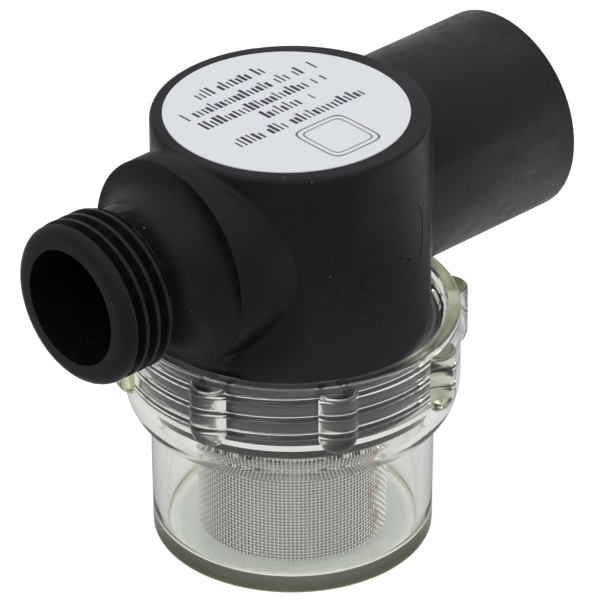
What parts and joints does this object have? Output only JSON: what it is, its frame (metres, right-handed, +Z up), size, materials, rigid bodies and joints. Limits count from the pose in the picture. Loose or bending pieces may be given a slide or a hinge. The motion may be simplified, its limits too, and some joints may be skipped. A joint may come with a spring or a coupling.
{
  "type": "sea water strainer",
  "caption": "Inline sea water strainer: moulded flow head with a threaded inlet and outlet socket, and a clear screw-on bowl around a woven wire screen.",
  "frame": {"origin": "centre of the bowl's flat base", "axes": "+Z up along the bowl's axis, +X towards the outlet socket"},
  "size_m": [0.0731, 0.0442, 0.0598],
  "materials": {
    "black_plastic": "satin black moulded plastic",
    "clear_plastic": "clear moulded plastic, faint yellow green in thick edges",
    "steel_mesh": "woven stainless wire",
    "seal_rubber": "matt dark rubber",
    "label_film": "smooth printed film"
  },
  "bodies": {
    "head": {"head": "black_plastic", "head_oring": "seal_rubber", "outlet_washer": "seal_rubber", "label": "label_film"},
    "screen": {"screen": "steel_mesh"},
    "bowl": {"bowl": "clear_plastic"}
  },
  "joints": [
    {"name": "screen_drop", "type": "slide", "parent": "head", "child": "screen", "axis": [0, 0, -1], "range_m": [0, 0.00762]},
    {"name": "bowl_turn", "type": "hinge", "parent": "screen", "child": "bowl", "pos_m": [0, 0, 0], "axis": [0, 0, -1], "range_deg": [0, 1080]}
  ],
  "couplings": [
    {"joint": "screen_drop", "follows": "bowl_turn", "m_per_rad": 0.00040425}
  ]
}
